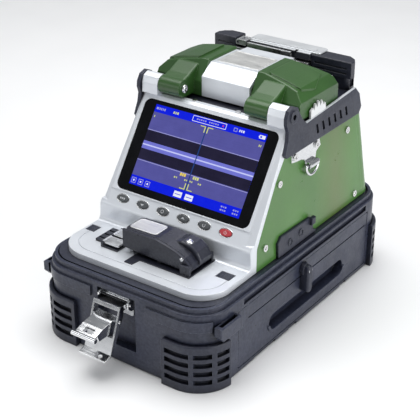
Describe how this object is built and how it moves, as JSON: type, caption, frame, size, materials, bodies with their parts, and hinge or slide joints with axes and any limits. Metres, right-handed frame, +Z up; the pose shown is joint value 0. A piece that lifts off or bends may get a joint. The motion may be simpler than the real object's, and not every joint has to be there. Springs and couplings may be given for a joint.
{
  "type": "fiber fusion splicer",
  "caption": "Portable fiber fusion splicer on a rubber-cornered docking case, with screen, keys, cleaver, wind cover, sleeve heater, drawer and latch.",
  "frame": {"origin": "centre of the case's flat underside", "axes": "+Z up, -Y towards the user (screen side), +X to the user's right (drawer side)"},
  "size_m": [0.1786, 0.3129, 0.2015],
  "materials": {
    "black_plastic": "fine textured black moulding",
    "black_rubber": "matt rubber, slightly blue black",
    "silver_moulding": "satin silver paint",
    "green_paint": "satin mid green paint",
    "polished_steel": "polished steel sheet",
    "bright_steel": "turned bright steel",
    "dark_plastic": "satin black plastic",
    "aluminium": "machined aluminium",
    "screen_glass": "glossy screen with a lit picture behind it",
    "button_grey": "dark grey keys",
    "button_red": "red key",
    "circuit_board": "solder mask green",
    "white_plastic": "white plastic"
  },
  "bodies": {
    "splicer": {"case_shell": "black_plastic", "case_gasket": "black_rubber", "bumper_front_left": "black_rubber", "bumper_front_right": "black_rubber", "bumper_rear_left": "black_rubber", "bumper_rear_right": "black_rubber", "latch_base": "polished_steel", "chassis": "aluminium", "front_bezel": "silver_moulding", "side_panel_left": "green_paint", "side_panel_right": "green_paint", "rear_panel": "green_paint", "side_trim_left": "black_rubber", "side_trim_right": "black_rubber", "panel_screws": "bright_steel", "top_deck": "dark_plastic", "lcd_glass": "screen_glass", "lcd_module": "dark_plastic", "keypad_board": "circuit_board", "strap_brackets": "polished_steel", "cleaver_base": "dark_plastic", "cleaver_wheel": "bright_steel", "fiber_holder": "dark_plastic", "hinge_blocks": "silver_moulding", "hinge_pins": "bright_steel", "v_groove_stage": "aluminium", "electrodes": "bright_steel", "electrode_holders": "dark_plastic", "fiber_guides": "white_plastic", "microscope_cameras": "bright_steel", "drive_motors": "bright_steel", "heater_base": "dark_plastic", "heater_plate": "aluminium", "main_board": "circuit_board", "battery_pack": "dark_plastic", "arc_transformer": "dark_plastic"},
    "drawer": {"drawer_tray": "black_plastic"},
    "drawer_catch": {"drawer_catch": "black_rubber"},
    "latch_lever": {"latch_lever": "polished_steel", "latch_springs": "polished_steel"},
    "latch_claw": {"latch_claw": "polished_steel"},
    "wind_cover": {"wind_cover": "green_paint", "cover_centre": "silver_moulding"},
    "heater_lid": {"heater_lid": "dark_plastic"},
    "heater_clamp": {"heater_clamp": "aluminium"},
    "fiber_clamp_left": {"fiber_clamp_left": "dark_plastic"},
    "fiber_clamp_right": {"fiber_clamp_right": "dark_plastic"},
    "cleaver_arm": {"cleaver_arm": "dark_plastic"},
    "fiber_flap_front": {"fiber_flap_front": "aluminium"},
    "fiber_flap_rear": {"fiber_flap_rear": "aluminium"},
    "d_ring_left": {"d_ring_left": "polished_steel"},
    "d_ring_right": {"d_ring_right": "polished_steel"},
    "port_cover": {"port_cover": "black_rubber"},
    "button_1": {"button_1": "button_grey"},
    "button_2": {"button_2": "button_grey"},
    "button_3": {"button_3": "button_grey"},
    "button_4": {"button_4": "button_grey"},
    "button_5": {"button_5": "button_grey"},
    "button_6": {"button_6": "button_red"}
  },
  "joints": [
    {"name": "drawer_slide", "type": "slide", "parent": "splicer", "child": "drawer", "axis": [1, 0, 0], "range_m": [0, 0.085]},
    {"name": "drawer_catch_turn", "type": "hinge", "parent": "drawer", "child": "drawer_catch", "pos_m": [0.084, -0.0025, 0.05], "axis": [1, 0, 0], "range_deg": [0, 90]},
    {"name": "latch_lever_hinge", "type": "hinge", "parent": "splicer", "child": "latch_lever", "pos_m": [-0.005, -0.1335, 0.0545], "axis": [1, 0, 0], "range_deg": [-55, 22]},
    {"name": "latch_claw_hinge", "type": "hinge", "parent": "latch_lever", "child": "latch_claw", "pos_m": [-0.005, -0.1445, 0.044], "axis": [1, 0, 0], "range_deg": [-12, 12]},
    {"name": "wind_cover_hinge", "type": "hinge", "parent": "splicer", "child": "wind_cover", "pos_m": [0, -0.008, 0.181], "axis": [1, 0, 0], "range_deg": [0, 95]},
    {"name": "heater_lid_hinge", "type": "hinge", "parent": "splicer", "child": "heater_lid", "pos_m": [0, 0.1005, 0.189], "axis": [-1, 0, 0], "range_deg": [0, 85]},
    {"name": "heater_clamp_hinge", "type": "hinge", "parent": "splicer", "child": "heater_clamp", "pos_m": [-0.0428, 0.0903, 0.1926], "axis": [0, -1, 0], "range_deg": [0, 80]},
    {"name": "fiber_clamp_left_hinge", "type": "hinge", "parent": "splicer", "child": "fiber_clamp_left", "pos_m": [-0.035, 0.0445, 0.1762], "axis": [-1, 0, 0], "range_deg": [0, 60]},
    {"name": "fiber_clamp_right_hinge", "type": "hinge", "parent": "splicer", "child": "fiber_clamp_right", "pos_m": [0.035, 0.0445, 0.1762], "axis": [-1, 0, 0], "range_deg": [0, 60]},
    {"name": "cleaver_arm_hinge", "type": "hinge", "parent": "splicer", "child": "cleaver_arm", "pos_m": [0.038, -0.0868, 0.0802], "axis": [0, 1, 0], "range_deg": [0, 48]},
    {"name": "fiber_flap_front_hinge", "type": "hinge", "parent": "splicer", "child": "fiber_flap_front", "pos_m": [-0.0424, -0.0975, 0.079], "axis": [0, -1, 0], "range_deg": [0, 100]},
    {"name": "fiber_flap_rear_hinge", "type": "hinge", "parent": "splicer", "child": "fiber_flap_rear", "pos_m": [-0.0424, -0.0847, 0.079], "axis": [0, -1, 0], "range_deg": [0, 100]},
    {"name": "d_ring_left_swing", "type": "hinge", "parent": "splicer", "child": "d_ring_left", "pos_m": [-0.07521, 0.0185, 0.1335], "axis": [0, 1, 0], "range_deg": [0, 85]},
    {"name": "d_ring_right_swing", "type": "hinge", "parent": "splicer", "child": "d_ring_right", "pos_m": [0.07521, 0.0185, 0.1335], "axis": [0, -1, 0], "range_deg": [0, 85]},
    {"name": "port_cover_hinge", "type": "hinge", "parent": "splicer", "child": "port_cover", "pos_m": [0.0779, -0.006, 0.071], "axis": [0, 1, 0], "range_deg": [0, 75]},
    {"name": "button_1_press", "type": "slide", "parent": "splicer", "child": "button_1", "axis": [0, 0.8241, -0.5664], "range_m": [0, 0.0008], "stiffness_N_per_m": 300},
    {"name": "button_2_press", "type": "slide", "parent": "splicer", "child": "button_2", "axis": [0, 0.8241, -0.5664], "range_m": [0, 0.0008], "stiffness_N_per_m": 300},
    {"name": "button_3_press", "type": "slide", "parent": "splicer", "child": "button_3", "axis": [0, 0.8241, -0.5664], "range_m": [0, 0.0008], "stiffness_N_per_m": 300},
    {"name": "button_4_press", "type": "slide", "parent": "splicer", "child": "button_4", "axis": [0, 0.8241, -0.5664], "range_m": [0, 0.0008], "stiffness_N_per_m": 300},
    {"name": "button_5_press", "type": "slide", "parent": "splicer", "child": "button_5", "axis": [0, 0.8241, -0.5664], "range_m": [0, 0.0008], "stiffness_N_per_m": 300},
    {"name": "button_6_press", "type": "slide", "parent": "splicer", "child": "button_6", "axis": [0, 0.8241, -0.5664], "range_m": [0, 0.0008], "stiffness_N_per_m": 300}
  ]
}
